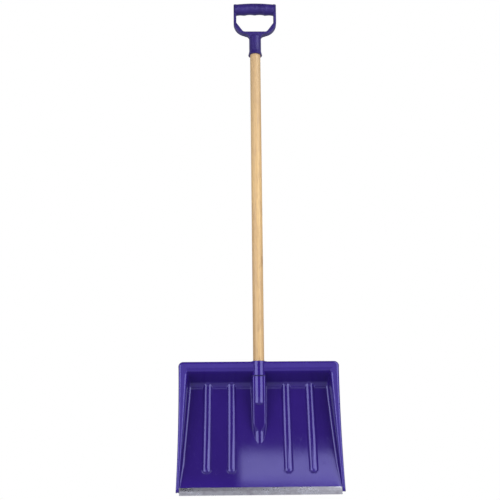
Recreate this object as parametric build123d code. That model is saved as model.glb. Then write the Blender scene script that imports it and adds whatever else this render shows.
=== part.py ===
"""Snow shovel: a moulded plastic scoop blade with an aluminium wear edge, a round wooden shaft and a D-grip.

Row frame, millimetres: +Z runs up along the shaft, -Y is the load side of the blade, X is across the blade.
The shaft's axis is the Z axis until the last step, which moves the origin to the middle of the footprint.
The blade is drawn in a frame of its own (X across, V up the rim, N out of the rim towards the load side),
and then leaned back with its lower edge standing in front of the shaft.
"""

from build123d import *
from math import asin, atan2, cos, degrees, radians, sin, tan
import os

# ---------------------------------------------------------------- driving dimensions
WALL = 3.0                  # moulded wall of the blade
REACH = 400.0               # long enough to cut right through the blade
HIGH = 40.0                 # how far the cutting forms stand out of the rim plane
BELOW = 60.0                # how far they run on below V = 0

# Rim of the blade
RIM_TILT = 9.0              # degrees from the shaft's axis to the rim plane
EDGE_FORWARD = 60.0         # how far the rim plane's lower edge stands in front of the shaft's axis
RIM_HALF_ENDS = 200.2       # half width at the top and at the feet
RIM_HALF_MIDDLE = 197.8     # half width half way down, because the sides are slightly hollow
RIM_TOP = 318.5             # V of the rim's top edge
RIM_CORNER = 12.0           # plan radius of the two top corners
RIM_ROLL = 4.5              # rolled outer edge
RIM_INNER_ROLL = 3.2        # rounding where the flange turns into the walls
SKIRT_DEPTH = 12.0          # the lip that stands back from the flange's edge
FOOT_BOTTOM = 4.0           # V of the lower ends of the two side rims
SKIRT_HOLLOW_START = 46.0   # below this V the side rims are solid

# Scoop cavity
CAVITY_TOP = 294.5          # V where the top wall meets the rim plane
CAVITY_HALF_TOP = 177.5     # half width at the rim plane, at CAVITY_TOP
CAVITY_HALF_BOTTOM = 193.4  # half width at the rim plane, at V = 0
WALL_DRAFT = 4.0            # degrees, of the side walls
FLOOR_RADIUS = 1550.0       # the floor is one shallow arc
FLOOR_START_ANGLE = 15.0    # degrees between the floor and the rim plane, at V = 0
FLOOR_START_DEPTH = 1.0     # depth of the floor at V = 0
TOP_WALL_ANGLE = 64.0       # degrees from the rim plane to the top wall
FLOOR_TOP_RADIUS = 13.0     # rounding between the floor and the top wall
FLOOR_SIDE_RADIUS = 8.0     # rounding between the floor and the side walls
PANEL_END = 3.0             # V of the panel's lower edge, inside the wear edge

# Stiffening ribs, pressed up from the floor and hollow behind
RIB_X = (68.4, 128.2)
RIB_HEIGHT = 5.4
RIB_CREST_HALF = 6.8        # half width of the crest before its shoulders are rounded
RIB_BASE_HALF = 11.5        # half width at the floor before the feet are rounded
RIB_SHOULDER_RADIUS = 12.0
RIB_FOOT_RADIUS = 1.5
RIB_START = 46.0            # V of the rounded lower end of a rib
RIB_ROOT = 5.0              # how far a rib's solid reaches below the floor
RIB_SINK = 0.12             # how far its rounded feet start below the floor, so that they run into it

# Socket for the shaft
SHAFT_RADIUS = 14.0
SHAFT_BOTTOM = 210.0
BORE_RADIUS = 14.1
COLLAR_RADIUS = 17.5        # the thicker ring at the mouth
COLLAR_TOP = 314.8
COLLAR_STEP = 279.0         # height where the collar steps down to the tunnel
TUNNEL_RADIUS = 15.9
TUNNEL_BOTTOM = 203.5
TUNNEL_NOSE_RADIUS = 9.0
KEEL_RADIUS = 16.2          # the ridge under the tunnel, which runs on to a pointed bow
KEEL_BACK = 2.5             # how far its rounded front's centre lies behind the shaft's axis
KEEL_BOTTOM = 85.0
KEEL_FLAT = 12.0            # half width of its flat front, between the round bow and the tunnel
KEEL_SET_BACK = 1.0         # how far that flat front stands back
KEEL_FLAT_BOTTOM = 152.0
CHANNEL_FLARE = 5.0         # degrees that the sides of these sections spread towards the floor
CHANNEL_DEPTH = 32.0        # how far those sides run back
CORE_TOP = 246.0            # top of the hollow behind the keel
CORE_WALL = 2.6

# Wear edge, an extruded profile pushed over the panel's lower edge
EDGE_HALF_LENGTH = 192.2
EDGE_FIT = 0.15             # clearance at the ends of its legs
EDGE_ROOM = 20.0            # how far the room cut for it reaches past the panel's end
EDGE_ROOM_DEPTH = 12.0      # and out from the panel's faces
EDGE_SKIN = 1.3             # thickness of its two legs
EDGE_FRONT_LEG = 14.2       # distance up the panel that the front leg covers
EDGE_BACK_LEG = 12.0
EDGE_BEND = 5.5             # distance up the panel where the nose starts to turn back
EDGE_NOSE_DROP = 4.2        # how far the nose reaches below V = 0 along the panel
EDGE_NOSE_OUT = -0.9        # distance of the nose's tip out from the panel's front face
EDGE_TAIL = 1.5             # distance up the panel where the back leg starts
EDGE_LAND = 2.2             # width of the flat land that it stands on
CRIMP_GRIP = 2.0            # how far into the panel the pressed metal may reach
CRIMP_LOW = 4.0             # distance up the panel where that starts
CRIMP_X = (-160.0, -96.0, -32.0, 32.0, 96.0, 160.0)
CRIMP_RADIUS = 5.0
CRIMP_DEPTH = 0.9
CRIMP_UP = 7.0              # distance up the panel

# D-grip
GRIP_TOP = 1300.6
GRIP_HALF_WIDTH = 58.5
STRAP = 7.5                 # thickness of the ring's upright sides and of its flat bottom
STRAP_DEPTH = 19.0
STRAP_EDGE = 2.2
BEND_DROP = 58.0            # below the top, where the ring starts to curve in
BEND_RADIUS = 36.0
BAR_RADIUS = 16.0
BAR_BOW = 3.5               # how far the bar's middle stands above its ends
BAR_EAR_DROP = 4.3          # how far the ring's top corners stand below the bar's top
BAR_CORNER = 3.5            # rounding of those corners
HOLE_TURN_DROP = 60.0       # below the top, where the opening's sides start to slant inwards
HOLE_FLOOR_HALF = 32.0      # half width of the opening's flat bottom
HOLE_ROUNDING = 9.0
FINGER_PITCH = 26.0
GROOVE_FADE = 0.15          # clearance of the finger grooves at the bar's top
FINGER_DEPTH = 1.6          # depth of the finger grooves under the bar, which fade out towards its top
GRIP_COLLAR_RADIUS = 16.2
GRIP_COLLAR_DROP = 155.0    # below the top, the lower end of the collar
GRIP_COLLAR_TOP_DROP = 98.0
GRIP_COLLAR_CHAMFER = 4.0
NECK_FLARE = 12.0           # radius of the hollow between the ring and the collar
NECK_INSET = 1.0            # how far the neck's sides stand inside the collar's
GRIP_LIP_RADIUS = 18.8
GRIP_LIP_HEIGHT = 12.0
SHAFT_TOP_DROP = 108.0      # below the top, the upper end of the shaft

# Shaft and screws
SHAFT_CHAMFER = 1.5
SCREW_SHANK_RADIUS = 2.0
SCREW_LENGTH = 20.0
SCREW_POINT = 4.0
SCREW_HEAD_RADIUS = 4.1
SCREW_HEAD_HEIGHT = 2.8
SCREW_SLOT_WIDTH = 1.1
SCREW_SLOT_LENGTH = 4.6
SCREW_SLOT_DEPTH = 1.5
SCREW_HOLE_RADIUS = 2.3
PILOT_GAP = 0.05            # the screws' holes in the wood, round and past the shank
BOSS_RADIUS = 5.6
BOSS_FACE = 19.0            # distance from the shaft's axis to the seat of a screw's head
SOCKET_SCREW_HEIGHTS = (228.0, 300.0)
GRIP_SCREW_DROP = 128.0

# ---------------------------------------------------------------- derived places
TILT = radians(RIM_TILT)
START = radians(FLOOR_START_ANGLE)
RIM_PLANE = Plane(origin=(0, -EDGE_FORWARD, 0), x_dir=(1, 0, 0), z_dir=(0, -cos(TILT), sin(TILT)))
FLOOR_CENTRE_V = FLOOR_RADIUS * sin(START)
FLOOR_CENTRE_N = FLOOR_RADIUS * cos(START) - FLOOR_START_DEPTH


def floor_point(v, lift=0.0):
    """(V, N) of the floor at a given V, raised by lift towards the arc's centre."""
    lean = asin((FLOOR_CENTRE_V - v) / FLOOR_RADIUS)
    radius = FLOOR_RADIUS - lift
    return FLOOR_CENTRE_V - radius * sin(lean), FLOOR_CENTRE_N - radius * cos(lean)


def panel_point(up, out):
    """(V, N) of a point up along the panel from V = 0, and out from its front face."""
    return (up * cos(START) + out * sin(START),
            -FLOOR_START_DEPTH - up * sin(START) + out * cos(START))


def across(profile, half_width):
    """Stretches a profile drawn as (V, N) along X, half_width to each side."""
    return extrude(profile, half_width, both=True)


def side_face(*edges):
    """A face in the V-N plane from edges drawn with local coordinates (V, N)."""
    return Plane.YZ * make_face(list(edges))


# ---------------------------------------------------------------- blade
CAVITY_SLOPE = (CAVITY_HALF_TOP - CAVITY_HALF_BOTTOM) / CAVITY_TOP


def cavity_half(v):
    """Half width of the scoop's mouth at the rim plane."""
    return CAVITY_HALF_BOTTOM + CAVITY_SLOPE * v


def side_plane(grow, side):
    """The plane of a side wall of the scoop, facing outwards. side is 1 or -1."""
    return Plane(origin=(side * (CAVITY_HALF_BOTTOM + grow), 0, 0), x_dir=(side * CAVITY_SLOPE, 1, 0),
                 z_dir=(side, -CAVITY_SLOPE, -tan(radians(WALL_DRAFT))))


def wall_corner(grow):
    """(V, N) where the top wall and the floor meet, and of the top wall's lip, both grown backwards."""
    top = radians(TOP_WALL_ANGLE)
    lip = (CAVITY_TOP + grow * sin(top), -grow * cos(top))
    radius = FLOOR_RADIUS + grow
    gap_v, gap_n = lip[0] - FLOOR_CENTRE_V, lip[1] - FLOOR_CENTRE_N
    along = gap_v * cos(top) + gap_n * sin(top)
    reach = along + (along ** 2 - gap_v ** 2 - gap_n ** 2 + radius ** 2) ** 0.5
    return (lip[0] - reach * cos(top), lip[1] - reach * sin(top)), lip


def tub(grow):
    """The space inside the scoop, grown by a wall thickness, and open to the front and the bottom."""
    corner, wall_lip = wall_corner(grow)
    start = panel_point(0, -grow)
    below = panel_point(-BELOW, -grow)
    middle = floor_point(corner[0] / 2, -grow)
    lip = (wall_lip[0] + (HIGH - wall_lip[1]) / tan(radians(TOP_WALL_ANGLE)), HIGH)
    profile = side_face(Line(below, start), ThreePointArc(start, middle, corner), Line(corner, lip),
                        Line(lip, (below[0], HIGH)), Line((below[0], HIGH), below))
    bend = profile.vertices().sort_by_distance((0, *corner))[0]
    profile = fillet(bend, FLOOR_TOP_RADIUS + grow)
    body = across(profile, REACH)
    for side in (1, -1):
        body = split(body, bisect_by=side_plane(grow, side), keep=Keep.BOTTOM)
    foot_edges = [edge for edge in body.edges()
                  if abs(edge.center().X) > CAVITY_HALF_TOP - 20
                  and edge.bounding_box().min.Z < -2
                  and edge.bounding_box().min.Y > -BELOW / 2
                  and edge.bounding_box().size.X < CAVITY_HALF_TOP]
    return fillet(foot_edges, FLOOR_SIDE_RADIUS + grow)


def rib_section(inset):
    """A rib's cross section in X and Z, with Z = 0 on the floor's front: its right half."""
    crest, floor = RIB_HEIGHT - inset, -inset - RIB_SINK
    slope = atan2(RIB_HEIGHT, RIB_BASE_HALF - RIB_CREST_HALF)
    shift = inset * tan(slope / 2)
    base, narrow = RIB_BASE_HALF - shift, RIB_CREST_HALF - shift
    wide = base + RIB_FOOT_RADIUS
    root = floor - RIB_ROOT
    corners = [(0, root), (wide, root), (wide, floor), (base, floor), (narrow, crest), (0, crest)]
    section = make_face(Polyline(*corners, close=True))
    if not inset:
        for point, radius in (((base, floor), RIB_FOOT_RADIUS), ((narrow, crest), RIB_SHOULDER_RADIUS)):
            section = fillet(section.vertices().sort_by_distance((*point, 0))[0], radius)
    return Plane.XZ * section


def rib(x, inset):
    """One rib's raised form with a round lower end, or with an inset the hollow behind it."""
    half = rib_section(inset)
    start_v = RIB_START + RIB_BASE_HALF
    lean = degrees(asin((FLOOR_CENTRE_V - start_v) / FLOOR_RADIUS))
    end_lean = degrees(asin((FLOOR_CENTRE_V - CAVITY_TOP) / FLOOR_RADIUS))
    run = revolve(Pos(0, 0, -FLOOR_RADIUS) * (half + mirror(half, Plane.YZ)), Axis.X, lean - end_lean)
    run = Pos(0, FLOOR_CENTRE_V, FLOOR_CENTRE_N) * Rot(-lean, 0, 0) * run
    end = Pos(0, *floor_point(start_v)) * Rot(-lean, 0, 0) * revolve(half, Axis.Z, -180)
    return Pos(x, 0, 0) * (run + end)


def stretch(section, low, high):
    """Extrudes a plan section from one height to another."""
    return Pos(0, 0, low) * extrude(section, high - low)


def channel(radius, back, flat=0.0):
    """Plan section: a round or flattened front, and sides that spread towards the floor."""
    flare = radians(CHANNEL_FLARE)
    bend, bend_y = radius - flat, back - flat
    near = (flat + bend * cos(flare), bend_y - bend * sin(flare))
    far = (near[0] + CHANNEL_DEPTH * tan(flare), near[1] + CHANNEL_DEPTH)
    edges = [Line(near, far), Line(far, (-far[0], far[1])), Line((-far[0], far[1]), (-near[0], near[1]))]
    if flat:
        turn = radians(45 - CHANNEL_FLARE / 2)
        middle = (flat + bend * sin(turn), bend_y - bend * cos(turn))
        edges += [ThreePointArc((-near[0], near[1]), (-middle[0], middle[1]), (-flat, back - radius)),
                  Line((-flat, back - radius), (flat, back - radius)),
                  ThreePointArc((flat, back - radius), middle, near)]
    else:
        edges.append(ThreePointArc((-near[0], near[1]), (0, back - radius), near))
    return make_face(edges)


def screw_boss(face, height):
    """A round pad behind a socket, which a screw's head seats on."""
    return Pos(0, 0, height) * Rot(-90, 0, 0) * Cylinder(
        BOSS_RADIUS, face, align=(Align.CENTER, Align.CENTER, Align.MIN))


def crimp_bumps(radius_change):
    """Round bumps that the wear edge's back leg presses into the panel."""
    ball = Sphere(CRIMP_RADIUS + radius_change)
    sink_v, sink_n = panel_point(CRIMP_UP, -WALL - CRIMP_RADIUS + CRIMP_DEPTH)
    return [Pos(x, sink_v, sink_n) * ball for x in CRIMP_X]


def rim_outline(inset, low):
    """The rim seen square on, with slightly hollow sides, from a given V up to the top edge."""
    ends, middle, top = RIM_HALF_ENDS - inset, RIM_HALF_MIDDLE - inset, RIM_TOP - inset
    centre_v = (RIM_TOP + FOOT_BOTTOM) / 2
    reach = RIM_TOP - centre_v
    bow = ends - middle
    radius = (reach ** 2 + bow ** 2) / (2 * bow)

    def half(v):
        return middle + radius - (radius ** 2 - (v - centre_v) ** 2) ** 0.5

    between = (low + top) / 2
    face = make_face([Line((-half(low), low), (half(low), low)),
                      ThreePointArc((half(low), low), (half(between), between), (half(top), top)),
                      Line((half(top), top), (-half(top), top)),
                      ThreePointArc((-half(top), top), (-half(between), between), (-half(low), low))])
    return fillet(face.vertices().group_by(Axis.Y)[-1], RIM_CORNER - inset)


def edge_seat():
    """The room that the wear edge's two legs need beside the panel."""
    half = EDGE_HALF_LENGTH + EDGE_FIT
    top, low, out = EDGE_FRONT_LEG + EDGE_FIT, -EDGE_ROOM, EDGE_ROOM_DEPTH
    front = [panel_point(top, 0), panel_point(top, out), panel_point(low, out), panel_point(low, 0)]
    top, out = EDGE_BACK_LEG + EDGE_FIT, -WALL - EDGE_ROOM_DEPTH
    back = [panel_point(top, -WALL), panel_point(top, out), panel_point(low, out), panel_point(low, -WALL)]
    return [across(Plane.YZ * make_face(Polyline(*corners, close=True)), half) for corners in (front, back)]


def make_blade():
    """The scoop: flange, skirt, walls, floor, ribs and the socket, in one moulding."""
    space = tub(0.0)
    outside = tub(WALL)
    for x in RIB_X:
        for side in (1, -1):
            space -= rib(side * x, 0.0)
            outside -= rib(side * x, WALL)

    # Rim: a flange with a skirt behind it
    rim = extrude(rim_outline(0.0, FOOT_BOTTOM), -SKIRT_DEPTH)
    front_edges = [edge for edge in rim.edges().group_by(Axis.Z)[-1]
                   if edge.center().Y > FOOT_BOTTOM + 1]
    rim = fillet(front_edges, RIM_ROLL)
    rim -= Pos(0, 0, -WALL) * extrude(rim_outline(WALL, SKIRT_HOLLOW_START), -SKIRT_DEPTH)
    low, high = -BELOW, SKIRT_HOLLOW_START + 1
    low_half, high_half = cavity_half(low) + WALL - 1, cavity_half(high) + WALL - 1
    gap = make_face(Polyline((-low_half, low), (low_half, low), (high_half, high), (-high_half, high),
                             close=True))
    rim -= Pos(0, 0, 1) * extrude(gap, -2 * SKIRT_DEPTH)

    behind_rim = Box(2 * REACH, 3 * REACH, REACH, align=(Align.CENTER, Align.CENTER, Align.MAX))
    above_end = Pos(0, PANEL_END, 0) * Box(
        2 * REACH, REACH, 2 * REACH, align=(Align.CENTER, Align.MIN, Align.CENTER))
    shell = (rim + (outside & behind_rim & above_end)) - space
    inner_roll = [edge for edge in shell.edges()
                  if abs(edge.center().Z) < 0.01 and edge.bounding_box().size.Z < 0.01
                  and abs(edge.center().X) < CAVITY_HALF_BOTTOM + 1 and edge.length > 50
                  and edge.center().Y > FOOT_BOTTOM + 2]
    shell = fillet(inner_roll, RIM_INNER_ROLL)
    for room in edge_seat():
        shell -= room
    shell = RIM_PLANE * shell

    # Keel and socket, drawn about the shaft's axis
    inside = RIM_PLANE * (outside & above_end)
    in_front = RIM_PLANE * (Pos(0, 0, -WALL) * Box(
        2 * REACH, 3 * REACH, REACH, align=(Align.CENTER, Align.CENTER, Align.MIN)))
    flat_keel = channel(KEEL_RADIUS, KEEL_BACK + KEEL_SET_BACK, KEEL_FLAT)
    shell += stretch(channel(KEEL_RADIUS, KEEL_BACK), KEEL_BOTTOM, KEEL_FLAT_BOTTOM) & inside
    shell += stretch(flat_keel, KEEL_FLAT_BOTTOM, COLLAR_STEP) & inside
    tunnel = stretch(Circle(TUNNEL_RADIUS), TUNNEL_BOTTOM, COLLAR_STEP)
    nose = tunnel.edges().filter_by(GeomType.CIRCLE).sort_by(Axis.Z)[0]
    tunnel = fillet(nose, TUNNEL_NOSE_RADIUS)
    collar = stretch(channel(COLLAR_RADIUS, 0.0), COLLAR_STEP, COLLAR_TOP)
    sleeve = stretch(Circle(COLLAR_RADIUS), COLLAR_STEP, COLLAR_TOP)
    shell += tunnel + (collar & in_front) + sleeve
    core = stretch(channel(KEEL_RADIUS - CORE_WALL, KEEL_BACK), KEEL_BOTTOM, CORE_TOP)
    core -= stretch(Circle(TUNNEL_RADIUS), SHAFT_BOTTOM - WALL, COLLAR_TOP)
    shell -= core
    for height in SOCKET_SCREW_HEIGHTS:
        shell += screw_boss(BOSS_FACE, height)
    shell -= stretch(Circle(BORE_RADIUS), SHAFT_BOTTOM, COLLAR_TOP + 1)
    for height in SOCKET_SCREW_HEIGHTS:
        shell -= screw_boss(BOSS_FACE + 1, height) & (Pos(0, 0, height) * Rot(-90, 0, 0) * Cylinder(
            SCREW_HOLE_RADIUS, 2 * BOSS_FACE + 10))
    for bump in crimp_bumps(0.0):
        shell -= RIM_PLANE * bump
    return shell


# ---------------------------------------------------------------- wear edge
def make_wear_edge():
    """An aluminium profile with a slot for the panel, a nose bent back and a flat land to stand on."""
    outline = [panel_point(EDGE_FRONT_LEG, 0), panel_point(EDGE_FRONT_LEG, EDGE_SKIN),
               panel_point(EDGE_BEND, EDGE_SKIN), panel_point(-EDGE_NOSE_DROP, EDGE_NOSE_OUT)]
    tip_v, tip_n = outline[-1]
    land = (tip_v + EDGE_LAND * sin(TILT), tip_n - EDGE_LAND * cos(TILT))
    outline += [land, panel_point(EDGE_TAIL, -WALL - EDGE_SKIN),
                panel_point(EDGE_BACK_LEG, -WALL - EDGE_SKIN), panel_point(EDGE_BACK_LEG, -WALL)]
    slot_end = PANEL_END / cos(START)
    outline += [panel_point(slot_end - WALL * tan(START), -WALL), panel_point(slot_end, 0)]
    profile = Plane.YZ * make_face(Polyline(*outline, close=True))
    body = across(profile, EDGE_HALF_LENGTH)
    for dent in crimp_bumps(-EDGE_SKIN):
        body -= dent
    reach = across(Plane.YZ * make_face(Polyline(
        panel_point(EDGE_BACK_LEG, -WALL), panel_point(EDGE_BACK_LEG, -WALL + CRIMP_GRIP),
        panel_point(CRIMP_LOW, -WALL + CRIMP_GRIP), panel_point(CRIMP_LOW, -WALL), close=True)),
        EDGE_HALF_LENGTH)
    for bump, dent in zip(crimp_bumps(0.0), crimp_bumps(-EDGE_SKIN)):
        body += (bump & reach) - dent
    return RIM_PLANE * body


# ---------------------------------------------------------------- shaft and screws
def screw_solid():
    """A pan-head screw along +Z: the head stands above Z = 0 and the shank hangs below."""
    straight = SCREW_LENGTH - SCREW_POINT
    shank = Cylinder(SCREW_SHANK_RADIUS, straight, align=(Align.CENTER, Align.CENTER, Align.MAX))
    point = Pos(0, 0, -straight) * Cone(0.4, SCREW_SHANK_RADIUS, SCREW_POINT,
                                        align=(Align.CENTER, Align.CENTER, Align.MAX))
    head = Cylinder(SCREW_HEAD_RADIUS, SCREW_HEAD_HEIGHT, align=(Align.CENTER, Align.CENTER, Align.MIN))
    head = fillet(head.edges().filter_by(GeomType.CIRCLE).sort_by(Axis.Z)[-1], SCREW_HEAD_HEIGHT * 0.7)
    slot = Pos(0, 0, SCREW_HEAD_HEIGHT) * Box(
        SCREW_SLOT_LENGTH, SCREW_SLOT_WIDTH, SCREW_SLOT_DEPTH, align=(Align.CENTER, Align.CENTER, Align.MAX))
    return head + shank + point - slot - Rot(0, 0, 90) * slot


def screw_at(height):
    """A screw driven forwards into the shaft at a height, its head on the boss behind the socket."""
    return Pos(0, BOSS_FACE, height) * Rot(-90, 0, 0) * screw_solid()


def make_shaft(screw_heights):
    """A round wooden rod, chamfered at both ends, with the holes that the screws cut."""
    rod = stretch(Circle(SHAFT_RADIUS), SHAFT_BOTTOM, GRIP_TOP - SHAFT_TOP_DROP)
    rod = chamfer(rod.edges().filter_by(GeomType.CIRCLE), SHAFT_CHAMFER)
    for height in screw_heights:
        rod -= Pos(0, BOSS_FACE - SCREW_LENGTH - PILOT_GAP, height) * Rot(-90, 0, 0) * Cylinder(
            SCREW_SHANK_RADIUS + PILOT_GAP, 2 * SCREW_LENGTH, align=(Align.CENTER, Align.CENTER, Align.MIN))
    return rod


# ---------------------------------------------------------------- grip
def ring_outline():
    """The outer edge of the ring, in X and Z."""
    half, radius = GRIP_HALF_WIDTH, BEND_RADIUS
    high = GRIP_TOP - BAR_EAR_DROP
    bend = GRIP_TOP - BEND_DROP
    centre = half - radius
    low = bend - radius
    turn = radius * cos(radians(45))
    face = make_face([Line((-half, high), (half, high)), Line((half, high), (half, bend)),
                      ThreePointArc((half, bend), (centre + turn, bend - turn), (centre, low)),
                      Line((centre, low), (-centre, low)),
                      ThreePointArc((-centre, low), (-centre - turn, bend - turn), (-half, bend)),
                      Line((-half, bend), (-half, high))])
    return fillet(face.vertices().group_by(Axis.Y)[-1], BAR_CORNER)


def ring_opening():
    """The opening under the bar: upright sides, slanting lower corners and a flat bottom."""
    half, high = GRIP_HALF_WIDTH - STRAP, GRIP_TOP
    turn, low = GRIP_TOP - HOLE_TURN_DROP, GRIP_TOP - BEND_DROP - BEND_RADIUS + STRAP
    face = make_face(Polyline((-half, high), (-half, turn), (-HOLE_FLOOR_HALF, low), (HOLE_FLOOR_HALF, low),
                              (half, turn), (half, high), close=True))
    rows = face.vertices().group_by(Axis.Y)
    return fillet(rows[0] + rows[1], HOLE_ROUNDING)


def make_grip(screw_height):
    """One moulding: a bar, a D-shaped ring under it and a collar that takes the shaft."""
    ring = Plane.XZ * (ring_outline() - ring_opening())
    ring = extrude(ring, STRAP_DEPTH / 2, both=True)
    rounded = [edge for edge in ring.edges() if edge.bounding_box().size.Y < 0.01]
    ring = fillet(rounded, STRAP_EDGE)

    # The bar is bowed up, so it is a piece of a large torus
    half = GRIP_HALF_WIDTH - STRAP / 2
    bow_radius = (half ** 2 + BAR_BOW ** 2) / (2 * BAR_BOW)
    bar_middle = GRIP_TOP - BAR_RADIUS
    half_turn = degrees(asin(half / bow_radius))
    circle = Rot(0, -half_turn, 0) * (Pos(0, 0, bow_radius) * (Plane.YZ * Circle(BAR_RADIUS)))
    bar = Pos(0, 0, bar_middle - bow_radius) * revolve(circle, Axis.Y, 2 * half_turn)
    groove_radius = (FINGER_PITCH ** 2 / 4 + FINGER_DEPTH ** 2) / (2 * FINGER_DEPTH)
    groove_path = BAR_RADIUS - FINGER_DEPTH / 2 + GROOVE_FADE + groove_radius
    for step in (-1.5, -0.5, 0.5, 1.5):
        middle = bar_middle - (step * FINGER_PITCH) ** 2 / (2 * bow_radius)
        groove = Torus(groove_path, groove_radius)
        bar -= Pos(step * FINGER_PITCH, 0, middle + FINGER_DEPTH / 2) * Rot(0, 90, 0) * groove

    # Neck and collar
    collar_low = GRIP_TOP - GRIP_COLLAR_DROP
    collar_high = GRIP_TOP - GRIP_COLLAR_TOP_DROP
    collar = stretch(Circle(GRIP_COLLAR_RADIUS), collar_low, collar_high)
    collar = chamfer(collar.edges().filter_by(GeomType.CIRCLE).sort_by(Axis.Z)[-1], GRIP_COLLAR_CHAMFER)
    lip = Pos(0, 0, collar_low) * Cone(GRIP_LIP_RADIUS, GRIP_COLLAR_RADIUS, GRIP_LIP_HEIGHT,
                                       align=(Align.CENTER, Align.CENTER, Align.MIN))
    ring_low = GRIP_TOP - BEND_DROP - BEND_RADIUS
    reach = GRIP_COLLAR_RADIUS + NECK_FLARE
    neck_low = ring_low - NECK_FLARE
    corner = NECK_FLARE * (1 - cos(radians(45)))
    neck_high = ring_low + STRAP / 2
    half = GRIP_COLLAR_RADIUS - NECK_INSET
    neck = make_face([Line((-reach, neck_high), (reach, neck_high)),
                      Line((reach, neck_high), (reach, ring_low)),
                      ThreePointArc((reach, ring_low), (half + corner, ring_low - corner), (half, neck_low)),
                      Line((half, neck_low), (-half, neck_low)),
                      ThreePointArc((-half, neck_low), (-half - corner, ring_low - corner),
                                    (-reach, ring_low)),
                      Line((-reach, ring_low), (-reach, neck_high))])
    neck = extrude(Plane.XZ * neck, STRAP_DEPTH / 2, both=True)
    body = ring + bar + neck + collar + lip + screw_boss(BOSS_FACE, screw_height)
    body -= stretch(Circle(BORE_RADIUS), collar_low - 1, GRIP_TOP - SHAFT_TOP_DROP)
    hole = Pos(0, 0, screw_height) * Rot(-90, 0, 0) * Cylinder(
        SCREW_HOLE_RADIUS, 2 * BOSS_FACE, align=(Align.CENTER, Align.CENTER, Align.MIN))
    return body - hole


# ---------------------------------------------------------------- assembly
def main():
    grip_screw_height = GRIP_TOP - GRIP_SCREW_DROP
    lower_height, upper_height = SOCKET_SCREW_HEIGHTS
    pieces = {
        "blade": make_blade(),
        "wear_edge": make_wear_edge(),
        "shaft": make_shaft((*SOCKET_SCREW_HEIGHTS, grip_screw_height)),
        "grip": make_grip(grip_screw_height),
        "grip_screw": screw_at(grip_screw_height),
        "socket_screw_upper": screw_at(upper_height),
        "socket_screw_lower": screw_at(lower_height),
    }
    boxes = [piece.bounding_box() for piece in pieces.values()]
    middle_y = (min(box.min.Y for box in boxes) + max(box.max.Y for box in boxes)) / 2
    ground = min(box.min.Z for box in boxes)
    os.makedirs("parts", exist_ok=True)
    for name, piece in pieces.items():
        export_step(Pos(0, -middle_y, -ground) * piece, f"parts/{name}.step")
    print("shaft axis at Y", -middle_y, "lifted by", -ground)


if __name__ == "__main__":
    main()
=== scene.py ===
"""Looks for the snow shovel: camera, light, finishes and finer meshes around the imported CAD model."""
import math

import bmesh
import bpy
from mathutils import Matrix, Vector


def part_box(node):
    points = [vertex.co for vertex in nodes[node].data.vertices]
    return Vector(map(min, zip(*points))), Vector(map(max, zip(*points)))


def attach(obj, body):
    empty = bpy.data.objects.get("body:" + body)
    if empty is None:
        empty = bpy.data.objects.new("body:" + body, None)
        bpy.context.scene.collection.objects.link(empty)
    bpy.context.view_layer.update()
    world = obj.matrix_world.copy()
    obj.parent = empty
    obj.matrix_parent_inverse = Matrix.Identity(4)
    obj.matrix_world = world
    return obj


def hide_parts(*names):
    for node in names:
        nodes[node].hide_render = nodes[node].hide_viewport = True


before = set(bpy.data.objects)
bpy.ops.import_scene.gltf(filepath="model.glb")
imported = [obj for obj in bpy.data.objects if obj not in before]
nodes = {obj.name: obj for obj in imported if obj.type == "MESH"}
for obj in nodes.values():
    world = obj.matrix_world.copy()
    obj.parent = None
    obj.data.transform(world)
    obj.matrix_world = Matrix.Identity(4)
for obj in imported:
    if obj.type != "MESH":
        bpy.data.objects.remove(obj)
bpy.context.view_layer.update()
scene = bpy.context.scene

# Places and sizes are in metres, in the frame of the CAD.
MM = 0.001
shaft_low, shaft_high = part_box("shaft")
AXIS_Y = (shaft_low.y + shaft_high.y) / 2


# ---------------------------------------------------------------- camera
CAMERA_X = -0.058
CAMERA_DISTANCE = 2.122     # in front of the shaft's axis
CAMERA_HEIGHT = 0.100
TILT = math.radians(13.39)
YAW = math.radians(1.05)
ROLL = math.radians(-0.53)
SENSOR = 36.0               # in mm, like the lens
LENS = 60.912
FARTHEST_SEEN = 60


def make_camera():
    """A low camera a little to the left, looking up the shovel."""
    data = bpy.data.cameras.new("camera")
    data.lens = LENS
    data.sensor_width = SENSOR
    data.clip_end = FARTHEST_SEEN
    camera = bpy.data.objects.new("camera", data)
    scene.collection.objects.link(camera)
    forward = Vector((math.sin(YAW) * math.cos(TILT), math.cos(YAW) * math.cos(TILT), math.sin(TILT)))
    level = Vector((math.cos(YAW), -math.sin(YAW), 0))
    upright = level.cross(forward)
    right = level * math.cos(ROLL) + upright * math.sin(ROLL)
    up = upright * math.cos(ROLL) - level * math.sin(ROLL)
    turn = Matrix((right, up, -forward)).transposed().to_4x4()
    place = Vector((CAMERA_X, AXIS_Y - CAMERA_DISTANCE, CAMERA_HEIGHT))
    camera.matrix_world = Matrix.Translation(place) @ turn
    scene.camera = camera


# ---------------------------------------------------------------- light and stage
ROOM = 0.07                 # brightness of the room in front
SWEEP = 0.50                # of the sweep behind
TABLE = 0.60                # and of the table
TURN_TO_SWEEP = (-0.25, 0.35)       # the y of a direction between which the room gives way to the sweep
COOL_WHITE = (0.93, 0.94, 1.0, 1)
TABLE_HALF = 14.0
RANGE_SOCKETS = ("From Min", "From Max", "To Min", "To Max")


def softbox(name, place, target, size, radiance):
    """An area light whose power follows from how bright its face looks."""
    data = bpy.data.lights.new(name, "AREA")
    data.shape = "RECTANGLE"
    data.size, data.size_y = size
    data.energy = radiance * math.pi * size[0] * size[1]
    light = bpy.data.objects.new(name, data)
    scene.collection.objects.link(light)
    light.location = place
    light.rotation_euler = (Vector(target) - Vector(place)).to_track_quat("-Z", "Y").to_euler()


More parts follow.
